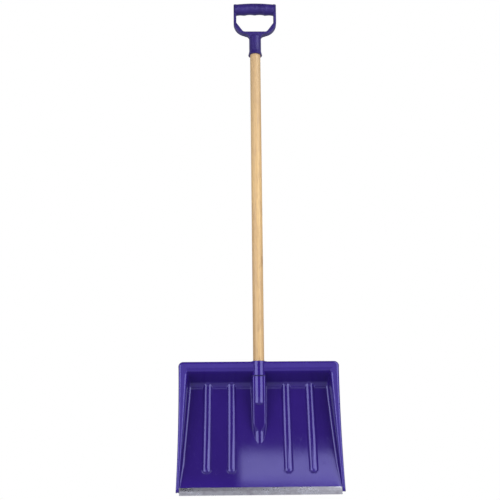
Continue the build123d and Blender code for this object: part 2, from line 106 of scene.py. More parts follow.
def make_world():
    """A dark room in front of the shovel and a pale sweep behind it; the camera itself sees plain white."""
    world = bpy.data.worlds.new("studio")
    scene.world = world
    world.use_nodes = True
    tree = world.node_tree
    tree.nodes.clear()
    out = tree.nodes.new("ShaderNodeOutputWorld")
    seen = tree.nodes.new("ShaderNodeBackground")
    lit = tree.nodes.new("ShaderNodeBackground")
    mix = tree.nodes.new("ShaderNodeMixShader")
    path = tree.nodes.new("ShaderNodeLightPath")
    place = tree.nodes.new("ShaderNodeTexCoord")
    parts = tree.nodes.new("ShaderNodeSeparateXYZ")
    depth = tree.nodes.new("ShaderNodeMapRange")
    seen.inputs["Color"].default_value = (1, 1, 1, 1)
    lit.inputs["Color"].default_value = COOL_WHITE
    for socket, number in zip(RANGE_SOCKETS, (*TURN_TO_SWEEP, ROOM, SWEEP)):
        depth.inputs[socket].default_value = number
    tree.links.new(place.outputs["Generated"], parts.inputs[0])
    tree.links.new(parts.outputs["Y"], depth.inputs["Value"])
    tree.links.new(depth.outputs["Result"], lit.inputs["Strength"])
    tree.links.new(path.outputs["Is Camera Ray"], mix.inputs["Fac"])
    tree.links.new(lit.outputs[0], mix.inputs[1])
    tree.links.new(seen.outputs[0], mix.inputs[2])
    tree.links.new(mix.outputs[0], out.inputs["Surface"])


def make_floor():
    """A wide table, white to the camera so that it has no horizon, and dim in the light that it gives."""
    mesh = bpy.data.meshes.new("floor")
    corners = [(x * TABLE_HALF, y * TABLE_HALF, 0) for x, y in ((-1, -1), (1, -1), (1, 1), (-1, 1))]
    mesh.from_pydata(corners, [], [(0, 1, 2, 3)])
    floor = bpy.data.objects.new("floor", mesh)
    scene.collection.objects.link(floor)
    material = bpy.data.materials.new("floor_white")
    material.use_nodes = True
    tree = material.node_tree
    tree.nodes.clear()
    out = tree.nodes.new("ShaderNodeOutputMaterial")
    seen = tree.nodes.new("ShaderNodeEmission")
    lit = tree.nodes.new("ShaderNodeEmission")
    mix = tree.nodes.new("ShaderNodeMixShader")
    path = tree.nodes.new("ShaderNodeLightPath")
    lit.inputs["Color"].default_value = COOL_WHITE
    lit.inputs["Strength"].default_value = TABLE
    tree.links.new(path.outputs["Is Camera Ray"], mix.inputs["Fac"])
    tree.links.new(lit.outputs[0], mix.inputs[1])
    tree.links.new(seen.outputs[0], mix.inputs[2])
    tree.links.new(mix.outputs[0], out.inputs["Surface"])
    mesh.materials.append(material)


def make_lights():
    """A box on either side, a dim wall behind the camera, and a slim box that the lower floor mirrors."""
    softbox("left_box", place=(-1.5, AXIS_Y - 1.55, 0.88), target=(0, AXIS_Y, 0.75),
            size=(1.9, 1.9), radiance=3.2)
    softbox("right_box", place=(1.5, AXIS_Y - 1.55, 1.28), target=(0, AXIS_Y, 0.75),
            size=(1.9, 2.9), radiance=3.1)
    softbox("front_wall", place=(0, AXIS_Y - 3.2, 1.47), target=(0, AXIS_Y, 1.0),
            size=(4.2, 1.2), radiance=0.70)
    softbox("upper_box", place=(0.54, AXIS_Y - 1.95, 1.815), target=(0.5, AXIS_Y - 0.05, 0.08),
            size=(1.15, 0.10), radiance=2.6)


make_camera()
make_world()
make_floor()
make_lights()
scene.view_settings.view_transform = "Standard"


# ---------------------------------------------------------------- blade
# The blade is drawn in its rim's frame: x across, v up the rim and n out towards the load side.
SHAFT_BOTTOM = 210 * MM
GROUND = shaft_low.z - SHAFT_BOTTOM     # height of the blade frame's origin
EDGE_FORWARD = 60 * MM
LEAN = math.radians(9)
WALL = 3 * MM
RIM_HALF_ENDS = 200.2 * MM
RIM_HALF_MIDDLE = 197.8 * MM
RIM_TOP = 318.5 * MM
RIM_CORNER = 12 * MM
SKIRT_DEPTH = 12 * MM
FOOT_BOTTOM = 4 * MM
OUTER_ROLL = (3.0 * MM, 6.0 * MM)       # radius of the rolled outer edge at the feet and at the top
INNER_ROLL = (2.2 * MM, 7.0 * MM)       # the same where the flange turns into the walls
LIP = 294.5 * MM                        # v where the top wall's line meets the rim plane
MOUTH_HALF = (193.4 * MM, 177.5 * MM)   # half width of the mouth at v = 0 and at the lip
WALL_DRAFT = math.radians(4)
FLOOR_RADIUS = 1550 * MM
FLOOR_START_ANGLE = math.radians(15)
FLOOR_START_DEPTH = 1 * MM
TOP_WALL_ANGLE = math.radians(64)
TOP_BEND = 17 * MM
SIDE_BEND = 8 * MM
PANEL_END = 3 * MM
BEND_START = 14 * MM            # how far below the top wall the floor's own stations end
TOES = (40 * MM, 66 * MM)       # the stretch of v where the ribs' toes need closer stations
BEND_STEPS = 14                 # how finely a bend of the side line is drawn
CORNER_STEPS = 8                # and one of a cross section
MOST_ROLL = 0.48                # of the depth beside a bend, so that two bends never meet
RIB_X = (68.4 * MM, 128.2 * MM)
RIB_HEIGHT = 5.4 * MM
RIB_FLAT_HALF = 1.3 * MM
RIB_SHOULDER = 12 * MM
RIB_SLOPE = math.radians(49)
RIB_START = 46 * MM
RIB_END_HALF = 11.5 * MM        # how far a rib's centre of rounding stands above its lower end
RIB_STRIP = 17 * MM             # half width of the strip of closer places along a rib
RIB_BLEND = 5 * MM              # height over which a rib turns into the top wall
KEEL_RADIUS = 16.2 * MM
KEEL_BACK = 2.5 * MM
KEEL_FOOT = 1.2 * MM
KEEL_FLAT = 12 * MM         # half width of the keel's flat front between its bow and the tunnel
KEEL_SET_BACK = 1.0 * MM    # how far that flat front stands back
KEEL_FLATTENS = (142 * MM, 162 * MM)
KEEL_TIP_RANGE = (60 * MM, 200 * MM)    # where its lower tip is looked for
KEEL_BOW = 50 * MM          # length of the keel's bow, where its sections stand closer
KEEL_MIDDLE = 240 * MM      # and the height above which they stand closer again
COLLAR_RADIUS = 17.5 * MM
COLLAR_FOOT = 2.5 * MM
COLLAR_STEP = 279 * MM
COLLAR_TOP = 314.8 * MM
TUNNEL_RADIUS = 15.9 * MM
TUNNEL_BOTTOM = 203.5 * MM
TUNNEL_NOSE = 9 * MM
FLARE = math.radians(5)
BOSS_RADIUS = 5.6 * MM
BOSS_FACE = 19 * MM
SCREW_HEIGHTS = (228 * MM, 300 * MM)
SCREW_HOLE = 2.3 * MM
GROOVE_DEPTH = 1.3 * MM     # the groove under the collar
GROOVE_HEIGHT = 2.6 * MM
EDGE_ROUND = 0.8 * MM       # rounding of the collar's and the pads' edges
SINK = 0.02 * MM            # how far a ridge's foot goes into the floor
SHAFT_GAP = 0.1 * MM
TINY = 1e-7
STRAIGHT = math.radians(89.9)

CENTRE_V = FLOOR_RADIUS * math.sin(FLOOR_START_ANGLE)
CENTRE_N = FLOOR_RADIUS * math.cos(FLOOR_START_ANGLE) - FLOOR_START_DEPTH
RIM_MIDDLE_V = (RIM_TOP + FOOT_BOTTOM) / 2


def from_blade(x, v, n):
    """A point of the blade's frame in the shared frame."""
    return Vector((x, AXIS_Y - EDGE_FORWARD + v * math.sin(LEAN) - n * math.cos(LEAN),
                   GROUND + v * math.cos(LEAN) + n * math.sin(LEAN)))


def blend_pair(pair, v):
    """A size that changes evenly from v = 0 to the lip."""
    return pair[0] + (pair[1] - pair[0]) * v / LIP


def floor_n(v):
    """Height of the floor's arc above the rim plane, which is negative."""
    return CENTRE_N - math.sqrt(FLOOR_RADIUS ** 2 - (v - CENTRE_V) ** 2)


def rim_half(v):
    """Half width of the rim, whose sides are slightly hollow."""
    reach, bow = RIM_TOP - RIM_MIDDLE_V, RIM_HALF_ENDS - RIM_HALF_MIDDLE
    radius = (reach ** 2 + bow ** 2) / (2 * bow)
    return RIM_HALF_MIDDLE + radius - math.sqrt(radius ** 2 - (v - RIM_MIDDLE_V) ** 2)


def rounded(points, radii, steps=8):
    """A 2D line through points, its inner corners rounded to the given radii."""
    line = [Vector(points[0])]
    for before, corner, after, radius in zip(points, points[1:], points[2:], radii):
        before, corner, after = Vector(before), Vector(corner), Vector(after)
        back, on = (before - corner).normalized(), (after - corner).normalized()
        half = back.angle(on) / 2
        if radius < TINY or half > STRAIGHT:
            line.append(corner)
            continue
        reach = radius / math.tan(half)
        centre = corner + (back + on).normalized() * radius / math.sin(half)
        first, last = corner + back * reach - centre, corner + on * reach - centre
        turn = first.angle(last)
        for step in range(steps + 1):
            share = step / steps
            line.append(centre + (first * math.sin((1 - share) * turn) + last * math.sin(share * turn))
                        / math.sin(turn))
    line.append(Vector(points[-1]))
    return line


def spread(low, high, count):
    """A count of evenly spaced values from low to high."""
    return [low + (high - low) * i / (count - 1) for i in range(count)]


def side_line():
    """The middle of the scoop in (v, n): floor, bend, top wall, and the roll over the lip."""
    top = TOP_WALL_ANGLE
    gap_v, gap_n = LIP - CENTRE_V, -CENTRE_N
    along = gap_v * math.cos(top) + gap_n * math.sin(top)
    reach = along + math.sqrt(along ** 2 - gap_v ** 2 - gap_n ** 2 + FLOOR_RADIUS ** 2)
    corner = (LIP - reach * math.cos(top), -reach * math.sin(top))
    low = spread(PANEL_END, TOES[0], 6)[:-1]
    toes = spread(*TOES, 27)[:-1]
    rest = spread(TOES[1], corner[0] - BEND_START, 16)
    floor = [(v, floor_n(v)) for v in low + toes + rest]
    beyond = (LIP + 12 * MM, 0)
    bends = rounded([floor[-1], corner, (LIP, 0), beyond], (TOP_BEND, INNER_ROLL[1]), BEND_STEPS)
    bend, roll = bends[1:BEND_STEPS + 2], bends[BEND_STEPS + 2:-1]
    wall = [bend[-1].lerp(roll[0], share) for share in spread(0, 1, 18)[1:-1]]
    return [Vector(p) for p in floor] + bend + wall + roll


RIB_SHOULDER_END = RIB_FLAT_HALF + RIB_SHOULDER * math.sin(RIB_SLOPE)
RIB_SHOULDER_DROP = RIB_SHOULDER * (1 - math.cos(RIB_SLOPE))
RIB_CREASE = RIB_SHOULDER_END + (RIB_HEIGHT - RIB_SHOULDER_DROP) / math.tan(RIB_SLOPE)


def rib_lift(x, v):
    """Height of the nearest rib above the floor: a flat crest, round shoulders and straight flanks."""
    across = min(abs(abs(x) - middle) for middle in RIB_X)
    away = math.hypot(across, max(0.0, RIB_START + RIB_END_HALF - v))
    if away <= RIB_FLAT_HALF:
        return RIB_HEIGHT
    if away <= RIB_SHOULDER_END:
        return RIB_HEIGHT - RIB_SHOULDER + math.sqrt(RIB_SHOULDER ** 2 - (away - RIB_FLAT_HALF) ** 2)
    return max(0.0, (RIB_CREASE - away) * math.tan(RIB_SLOPE))


def scoop_n(x, v, n):
    """The scoop's surface with its ribs, which turn up into the top wall with a soft bend."""
    lift = rib_lift(x, v)
    if lift <= 0:
        return n
    gap = floor_n(v) + lift - n
    soft = RIB_BLEND * lift / RIB_HEIGHT
    if abs(gap) < soft:
        return n + (gap + soft) ** 2 / (4 * soft)
    return n + max(gap, 0.0)


def floor_places(end):
    """Places across half the floor, closer together at the ribs, from the middle to the wall's foot."""
    strip = spread(-RIB_STRIP, -RIB_CREASE, 5) + spread(-RIB_CREASE, RIB_CREASE, 27)[1:-1]
    strip += spread(RIB_CREASE, RIB_STRIP, 5)
    beside = RIB_STRIP + 1 * MM
    places = spread(0, 50 * MM, 8)[:-1]
    places += [RIB_X[0] + step for step in strip]
    places += spread(RIB_X[0] + beside, RIB_X[1] - beside, 5)
    places += [RIB_X[1] + step for step in strip]
    return places + spread(RIB_X[1] + beside, end, 6)


def half_profile(v, n):
    """Half a cross section (x, n) of the scoop, from the middle out to the flange."""
    depth = max(-n, 0.0)
    below_lip = min(v, LIP)
    mouth = blend_pair(MOUTH_HALF, below_lip)
    roll = min(blend_pair(INNER_ROLL, below_lip), MOST_ROLL * depth)
    bend = min(SIDE_BEND, MOST_ROLL * depth)
    foot = mouth - depth * math.tan(WALL_DRAFT)
    corners = [(foot - 4 * SIDE_BEND, -depth), (foot, -depth), (mouth, 0), (mouth + 2 * INNER_ROLL[1], 0)]
    if depth < 10 * TINY:
        tail = [Vector((mouth + step * 0.5 * MM, n)) for step in range(-CORNER_STEPS, CORNER_STEPS + 2)]
    else:
        tail = rounded(corners, (bend, roll), CORNER_STEPS)[1:-1]
    places = floor_places(tail[0].x)
    return [Vector((x, scoop_n(x, v, n))) for x in places[:-1]] + tail


def mouth_edge(stations, grid):
    """Pairs the mouth's verts, from the left foot over the top to the right foot, with the rim beside them.

    Each entry holds a vert, the rim's place (x, v), the way outwards there, and the v that sizes its roll.
    """
    lip = grid[-1]
    corner = Vector((RIM_HALF_ENDS - RIM_CORNER, RIM_TOP - RIM_CORNER))
    left, right = [], []
    for (v, _), row in zip(stations, grid):
        left.append((row[0], Vector((-rim_half(v), v)), Vector((-1, 0)), v))
        right.append((row[-1], Vector((rim_half(v), v)), Vector((1, 0)), v))
    for turn in spread(0, math.pi / 2, 9):
        away = Vector((math.cos(turn), math.sin(turn)))
        mirrored = Vector((-away.x, away.y))
        left.append((lip[0], Vector((-corner.x, corner.y)) + mirrored * RIM_CORNER, mirrored, RIM_TOP))
        right.append((lip[-1], corner + away * RIM_CORNER, away, RIM_TOP))
    top = [(vert, Vector((vert.co.x, RIM_TOP)), Vector((0, 1)), RIM_TOP) for vert in lip[1:-1:3]]
    return left + top + right[::-1]


def flange_ring(builder, vert, place, away, v, lip_v):
    """One strip's verts from the mouth's edge over the flange and the rolled rim to the skirt's end."""
    roll = OUTER_ROLL[0] + (OUTER_ROLL[1] - OUTER_ROLL[0]) * min(v / RIM_TOP, 1)
    flat_end = place - away * roll
    start = Vector((vert.co.x, min(v, lip_v)))
    ring = [vert]
    for share in (0.25, 0.75):
        spot = start.lerp(flat_end, share)
        ring.append(builder.verts.new(from_blade(spot.x, spot.y, 0)))
    for turn in spread(0, math.pi / 2, 8):
        spot = flat_end + away * roll * math.sin(turn)
        ring.append(builder.verts.new(from_blade(spot.x, spot.y, -roll * (1 - math.cos(turn)))))
    for depth in spread(roll, SKIRT_DEPTH, 3)[1:]:
        ring.append(builder.verts.new(from_blade(place.x, place.y, -depth)))
    return ring


def make_scoop_sheet():
    """The load side of the moulding as one sheet, from the scoop out over the flange and down the skirt."""
    builder = bmesh.new()
    stations = side_line()
    grid = []
    for v, n in stations:
        half = half_profile(v, min(n, 0.0))
        row = [Vector((-p.x, p.y)) for p in reversed(half[1:])] + half
        grid.append([builder.verts.new(from_blade(p.x, v, p.y)) for p in row])
    for lower, upper in zip(grid, grid[1:]):
        for i in range(len(lower) - 1):
            builder.faces.new((lower[i], lower[i + 1], upper[i + 1], upper[i]))

    lip_v = stations[-1].x
    rings = [flange_ring(builder, *entry, lip_v) for entry in mouth_edge(stations, grid)]
    for near, far in zip(rings, rings[1:]):
        for i in range(len(near) - 1):
            corners = [near[i], near[i + 1], far[i + 1], far[i]]
            if corners[0] is corners[3]:
                corners = corners[:3]
            builder.faces.new(corners)
    bmesh.ops.recalc_face_normals(builder, faces=builder.faces)
    return builder


def surface_y(stations):
    """A function that gives the y of the scoop's middle, the flange and the rim's top roll at a height."""
    line = [from_blade(0, p.x, p.y) for p in stations]
    line.append(from_blade(0, RIM_TOP - OUTER_ROLL[1], 0))
    for turn in spread(0, math.pi / 2, 5)[1:]:
        down, back = OUTER_ROLL[1] * (1 - math.sin(turn)), OUTER_ROLL[1] * (1 - math.cos(turn))
        line.append(from_blade(0, RIM_TOP - down, -back))

    def at(z):
        for low, high in zip(line, line[1:]):
            if low.z <= z <= high.z:
                share = (z - low.z) / (high.z - low.z)
                return low.y + (high.y - low.y) * share
        return line[-1].y
    return at


def channel_section(radius, back, floor_y, foot, flat=0.0):
    """Half a plan section (x, y) of a ridge, from its foot on the floor round to its front."""
    bend, bend_y = radius - flat, back - flat
    flank_x, flank_y = flat + bend * math.cos(FLARE), bend_y - bend * math.sin(FLARE)
    centre_y = floor_y - foot
    side_x = flank_x + (centre_y - flank_y) * math.tan(FLARE) + foot / math.cos(FLARE)
    touch_y = centre_y + foot * math.sin(FLARE)
    on_flank = touch_y >= flank_y
    if on_flank:
        centre_x = side_x
        touch = Vector((centre_x - foot * math.cos(FLARE), touch_y))
    else:
        span = (bend + foot) ** 2 - (centre_y - bend_y) ** 2
        centre_x = flat + math.sqrt(max(span, 0.0))
        centre = Vector((centre_x, centre_y))
        touch = centre + (Vector((flat, bend_y)) - centre).normalized() * foot
    start_turn, end_turn = math.pi / 2, math.atan2(touch.y - centre_y, touch.x - centre_x)
    if end_turn < 0:
        end_turn += 2 * math.pi
    line = [Vector((centre_x + foot * math.cos(turn), centre_y + foot * math.sin(turn)))
            for turn in spread(start_turn, end_turn, 8)]
    arc_start = Vector((flank_x, flank_y)) if on_flank else touch
    line += [touch.lerp(arc_start, share) for share in spread(0, 1, 5)[1:]]
    first = math.atan2(arc_start.y - bend_y, arc_start.x - flat)
    line += [Vector((flat + bend * math.cos(turn), bend_y + bend * math.sin(turn)))
             for turn in spread(first, -math.pi / 2, 18)[1:]]
    return line + [Vector((flat * share, back - radius)) for share in (0.5, 0.0)]


def eased(value, low, high):
    """Goes smoothly from 0 to 1 while a value goes from low to high."""
    share = min(max((value - low) / (high - low), 0.0), 1.0)
    return share * share * (3 - 2 * share)


def add_ridge(builder, sections, caps):
    """Skins a stack of half sections [(z, half)], mirrored, with flat caps where caps asks for them."""
    rows = []
    for z, half in sections:
        line = [Vector((p.x, p.y)) for p in half] + [Vector((-p.x, p.y)) for p in reversed(half[:-1])]
        rows.append([builder.verts.new((p.x, p.y, z)) for p in line])
    for lower, upper in zip(rows, rows[1:]):
        for i in range(len(lower) - 1):
            builder.faces.new((lower[i], upper[i], upper[i + 1], lower[i + 1]))
    if caps[0]:
        builder.faces.new(rows[0])
    if caps[1]:
        builder.faces.new(list(reversed(rows[-1])))


def add_lathe(builder, outline, centre, axis_turn, sides=64):
    """Turns an outline [(radius, height)] about an axis through centre."""
    rings = []
    for radius, height in outline:
        ring = []
        for i in range(sides):
            turn = 2 * math.pi * i / sides
            spot = Vector((radius * math.cos(turn), radius * math.sin(turn), height))
            ring.append(builder.verts.new(centre + axis_turn @ spot))
        rings.append(ring)
    for lower, upper in zip(rings, rings[1:]):
        for i in range(sides):
            j = (i + 1) % sides
            builder.faces.new((lower[i], lower[j], upper[j], upper[i]))


def keel_tip(rim_y):
    """The height where the keel's front comes out of the floor, found by halving."""
    low, high = (GROUND + height for height in KEEL_TIP_RANGE)
    for _ in range(40):
        tip = (low + high) / 2
        low, high = (tip, high) if rim_y(tip) < AXIS_Y + KEEL_BACK - KEEL_RADIUS else (low, tip)
    return tip


def add_keel(builder, rim_y):
    """The ridge that rises out of the floor below the shaft and carries the tunnel up to the collar."""
    tip = keel_tip(rim_y)
    heights = [tip + step ** 2 * KEEL_BOW for step in spread(0.03, 1, 26)]
    heights += spread(heights[-1], GROUND + KEEL_MIDDLE, 10)[1:]
    heights += spread(GROUND + KEEL_MIDDLE + 2 * MM, GROUND + COLLAR_STEP, 26)
    keel = []
    for z in heights:
        share = eased(z - GROUND, *KEEL_FLATTENS)
        back = AXIS_Y + KEEL_BACK + KEEL_SET_BACK * share
        keel.append((z, channel_section(KEEL_RADIUS, back, rim_y(z) + SINK, KEEL_FOOT, KEEL_FLAT * share)))
    add_ridge(builder, keel, (False, False))


def add_collar(builder, rim_y):
    """The block round the shaft at the rim, with its lower and upper edges rounded."""
    low, high = GROUND + COLLAR_STEP, GROUND + COLLAR_TOP
    rows = [(low + EDGE_ROUND * (1 - math.cos(turn)), EDGE_ROUND * (1 - math.sin(turn)))
            for turn in spread(0, math.pi / 2, 5)]
    rows += [(z, 0.0) for z in spread(low + 2 * EDGE_ROUND, high - 2 * EDGE_ROUND, 26)]
    rows += [(high - EDGE_ROUND * (1 - math.cos(turn)), EDGE_ROUND * (1 - math.sin(turn)))
             for turn in spread(math.pi / 2, 0, 5)]
    collar = []
    for z, inset in rows:
        behind = max(rim_y(z) + SINK, AXIS_Y + 1 * MM)
        collar.append((z, channel_section(COLLAR_RADIUS - inset, AXIS_Y, behind, COLLAR_FOOT)))
    add_ridge(builder, collar, (True, True))


def add_tunnel(builder):
    """The round tunnel with its blunt nose, the groove below the collar, and the collar's mouth."""
    upright = Matrix.Identity(3)
    centre = Vector((0, AXIS_Y, GROUND))
    nose = [(TUNNEL_RADIUS - TUNNEL_NOSE * (1 - math.sin(turn)),
             TUNNEL_BOTTOM + TUNNEL_NOSE * (1 - math.cos(turn))) for turn in spread(0, math.pi / 2, 9)]
    waist = TUNNEL_RADIUS - GROOVE_DEPTH
    groove = [(TUNNEL_RADIUS, COLLAR_STEP - GROOVE_HEIGHT), (waist, COLLAR_STEP - GROOVE_HEIGHT + 0.6 * MM),
              (waist, COLLAR_STEP + MM)]
    add_lathe(builder, [(0.1 * MM, TUNNEL_BOTTOM)] + nose + groove, centre, upright)
    ring = COLLAR_RADIUS - 0.05 * MM
    bore = shaft_high.x + SHAFT_GAP
    add_lathe(builder, [(TUNNEL_RADIUS - MM, COLLAR_STEP), (ring - EDGE_ROUND, COLLAR_STEP),
                        (ring, COLLAR_STEP + EDGE_ROUND), (ring, COLLAR_TOP - EDGE_ROUND),
                        (ring - EDGE_ROUND, COLLAR_TOP), (bore, COLLAR_TOP), (bore, COLLAR_TOP - 8 * MM)],
              centre, upright)


def add_pads(builder):
    """The round pads at the back that the socket's screws go through."""
    backward = Matrix.Rotation(math.radians(-90), 3, "X")
    outline = [(BOSS_RADIUS + 0.6 * MM, 12 * MM), (BOSS_RADIUS, BOSS_FACE - EDGE_ROUND),
               (BOSS_RADIUS - EDGE_ROUND, BOSS_FACE), (SCREW_HOLE, BOSS_FACE),
               (SCREW_HOLE, BOSS_FACE - 2 * MM)]
    for height in SCREW_HEIGHTS:
        add_lathe(builder, outline, Vector((0, AXIS_Y, GROUND + height)), backward, 32)


def make_socket(stations):
    """The keel, the tunnel and the collar that take the shaft, with the pads of the socket's screws."""
    builder = bmesh.new()
    rim_y = surface_y(stations)
    add_keel(builder, rim_y)
    add_collar(builder, rim_y)
    add_tunnel(builder)
    add_pads(builder)
    bmesh.ops.recalc_face_normals(builder, faces=builder.faces)
    return builder


def finished(name, builder, body="root", sharp=35):
    """Turns a bmesh into a smooth-shaded piece that rides on a body."""
    mesh = bpy.data.meshes.new(name)
    builder.to_mesh(mesh)
    builder.free()
    mesh.shade_smooth()
    mesh.set_sharp_from_angle(angle=math.radians(sharp))
    piece = bpy.data.objects.new(name, mesh)
    scene.collection.objects.link(piece)
    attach(piece, body)
    return piece


def make_blade():
    """The moulding in two pieces: the scoop, thickened to its wall, and the socket on it."""
    scoop = finished("blade_scoop", make_scoop_sheet())
    thick = scoop.modifiers.new("wall", "SOLIDIFY")
    thick.thickness = WALL
    thick.offset = -1
    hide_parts("blade")
    socket = finished("blade_socket", make_socket(side_line()))
    return [scoop, socket]


blade_pieces = make_blade()


# ---------------------------------------------------------------- finishes
WORN_HEIGHTS = (0.02, 0.22)             # the blade's scuffs thin out between these
RUBBED_HEIGHTS = (1.262, 1.29)          # the grip gets smoother between these
HANDLED_HEIGHTS = (0.85, 1.16)          # and the shaft darker between these
PAINTED_SHADE_DEPTHS = (0.004, 0.013)       # painted shade: the blade's colour deepens between these depths off the rim plane, for the shade inside the scoop
PAINTED_SIDE_SHADE_ACROSS = (-0.012, 0.008)             # across the shaft, where the painted shade down its left side fades out
MIX_A, MIX_B, MIX_COLOUR = 6, 7, 2      # the Mix node's colour sockets


class Finish:
    """A node material: a Principled shader, object coordinates, and short ways to add textures to it."""

    def __init__(self, name, **fixed):
        self.material = bpy.data.materials.new(name)
        self.material.use_nodes = True
        self.tree = self.material.node_tree
        self.shader = self.tree.nodes["Principled BSDF"]
        self.place = self.add("ShaderNodeTexCoord").outputs["Object"]
        for socket, value in fixed.items():
            self.shader.inputs[socket.replace("_", " ")].default_value = value

    def add(self, kind, **settings):
        """A new node of a kind."""
        node = self.tree.nodes.new(kind)
        for name, value in settings.items():
            setattr(node, name, value)
        return node

    def feed(self, socket, value):
        """Links a socket to another, or sets it to a plain value."""
        if isinstance(value, bpy.types.NodeSocket):
            self.tree.links.new(value, socket)
        else:
            socket.default_value = value

    def stretched(self, scale, turn=(0, 0, 0)):
        """The object's coordinates, scaled and turned."""
        node = self.add("ShaderNodeMapping")
        self.feed(node.inputs["Vector"], self.place)
        node.inputs["Scale"].default_value = scale
        node.inputs["Rotation"].default_value = turn
        return node.outputs["Vector"]

    def noise(self, scale, stretch=(1, 1, 1), detail=4.0, rough=0.55, warp=0.0, turn=(0, 0, 0)):
        node = self.add("ShaderNodeTexNoise")
        self.feed(node.inputs["Vector"], self.stretched(stretch, turn))
        node.inputs["Scale"].default_value = scale
        node.inputs["Detail"].default_value = detail
        node.inputs["Roughness"].default_value = rough
        node.inputs["Distortion"].default_value = warp
        return node.outputs["Fac"]

    def band(self, value, low, high, to_low=0.0, to_high=1.0):
        """Maps a range of a value to another range, held at both ends."""
        node = self.add("ShaderNodeMapRange")
        self.feed(node.inputs["Value"], value)
        for socket, number in zip(RANGE_SOCKETS, (low, high, to_low, to_high)):
            node.inputs[socket].default_value = number
        return node.outputs["Result"]

    def math(self, operation, first, second):
        node = self.add("ShaderNodeMath", operation=operation)
        self.feed(node.inputs[0], first)
        self.feed(node.inputs[1], second)
        return node.outputs[0]

    def mix(self, share, first, second):
        node = self.add("ShaderNodeMix", data_type="RGBA")
        self.feed(node.inputs[0], share)
        self.feed(node.inputs[MIX_A], first)
        self.feed(node.inputs[MIX_B], second)
        return node.outputs[MIX_COLOUR]

    def ramp(self, value, stops):
        """Colours from stops [(position, (r, g, b))]."""
        node = self.add("ShaderNodeValToRGB")
        self.feed(node.inputs["Fac"], value)
        elements = node.color_ramp.elements
        while len(elements) < len(stops):
            elements.new(0.5)
        for element, (place, colour) in zip(elements, stops):
            element.position = place
            element.color = (*colour, 1)
        return node.outputs["Color"]

    def scratches(self, scale, turn, width, keep):
        """Thin wandering lines, kept only where a broad noise is high."""
        wave = self.noise(scale, (1, 1, 0.06), 1.0, 0.4, 0.4, turn)
        line = self.band(self.math("ABSOLUTE", self.math("SUBTRACT", wave, 0.5), 0.0), 0.0, width, 1.0, 0.0)
        patch = self.band(self.noise(scale * 0.35, (1, 1, 1), 2.0), keep, keep + 0.08)
        return self.math("MULTIPLY", line, patch)

    def axis(self, index):
        """One of the object's coordinates, in metres."""
        node = self.add("ShaderNodeSeparateXYZ")
        self.feed(node.inputs[0], self.place)
        return node.outputs[index]

    def bump(self, height, strength, distance, before=None):
        node = self.add("ShaderNodeBump")
        self.feed(node.inputs["Height"], height)
        node.inputs["Strength"].default_value = strength
        node.inputs["Distance"].default_value = distance
        if before is not None:
            self.feed(node.inputs["Normal"], before)
        return node.outputs["Normal"]

    def done(self, colour, rough, normal):
        """Links what varies to the shader and gives the material."""
        self.feed(self.shader.inputs["Base Color"], colour)
        self.feed(self.shader.inputs["Roughness"], rough)
        self.feed(self.shader.inputs["Normal"], normal)
        return self.material


def blade_plastic():
    """Glossy moulded polypropylene: flow clouding, a faint orange peel, scuffs near the lower edge, and
    painted shade inside the scoop and in the groove under the collar.
    """
    look = Finish("blade_plastic", Specular_IOR_Level=1.0, Specular_Tint=(0.50, 0.50, 1.0, 1))
    cloud = look.noise(9, (1, 1, 0.5), 3.0)
    open_face = look.ramp(cloud, [(0.3, (0.028, 0.0105, 0.180)), (0.7, (0.034, 0.0130, 0.216))])
    # painted shade: a darker copy of the plastic for the inside of the scoop, standing in for the shade of
    # its walls
    painted_scoop_shade = look.ramp(cloud, [(0.3, (0.0235, 0.0090, 0.140)), (0.7, (0.029, 0.0115, 0.170))])
    forward = look.math("SUBTRACT", look.axis(1), AXIS_Y - EDGE_FORWARD)
    forward = look.math("MULTIPLY", forward, -math.cos(LEAN))
    upward = look.math("MULTIPLY", look.math("SUBTRACT", look.axis(2), GROUND), math.sin(LEAN))
    off_rim = look.math("ABSOLUTE", look.math("ADD", forward, upward), 0.0)
    # the painted shade comes in with depth off the rim plane
    colour = look.mix(look.band(off_rim, *PAINTED_SHADE_DEPTHS), open_face, painted_scoop_shade)
    # painted shade: a dark band across the collar at the groove below it, standing in for the groove's
    # shade
    groove_height = GROUND + COLLAR_STEP - GROOVE_HEIGHT / 2
    from_groove = look.math("ABSOLUTE", look.math("SUBTRACT", look.axis(2), groove_height), 0.0)
    beside = look.math("ABSOLUTE", look.axis(0), 0.0)
    groove = look.math("MULTIPLY", look.band(from_groove, 0.7 * MM, 1.6 * MM, 1.0, 0.0),
                       look.band(beside, 18 * MM, 19 * MM, 1.0, 0.0))
    colour = look.mix(groove, colour, (0.012, 0.006, 0.060, 1))
    height = look.band(look.axis(2), *WORN_HEIGHTS, 1.0, 0.0)
    fine = look.scratches(60, (0, 0.5, 0.2), 0.012, 0.52)
    cross = look.scratches(85, (0, -0.35, 0.9), 0.010, 0.56)
    scuff = look.math("MULTIPLY", look.math("MAXIMUM", fine, cross), look.band(height, 0, 1, 0.06, 0.22))
    speck = look.band(look.noise(420, detail=1.0), 0.70, 0.78, 0.0, 0.25)
    colour = look.mix(look.math("MAXIMUM", scuff, speck), colour, (0.095, 0.075, 0.27, 1))
    rough = look.math("ADD", look.band(look.noise(30, detail=5.0), 0.3, 0.7, 0.035, 0.065),
                      look.math("ADD", look.math("MULTIPLY", scuff, 0.25),
                                look.math("MULTIPLY", groove, 0.5)))
    peel = look.bump(look.noise(420, detail=2.0), 0.08, 0.0002)
    normal = look.bump(scuff, 0.25, 0.0002, peel)
    return look.done(colour, rough, normal)


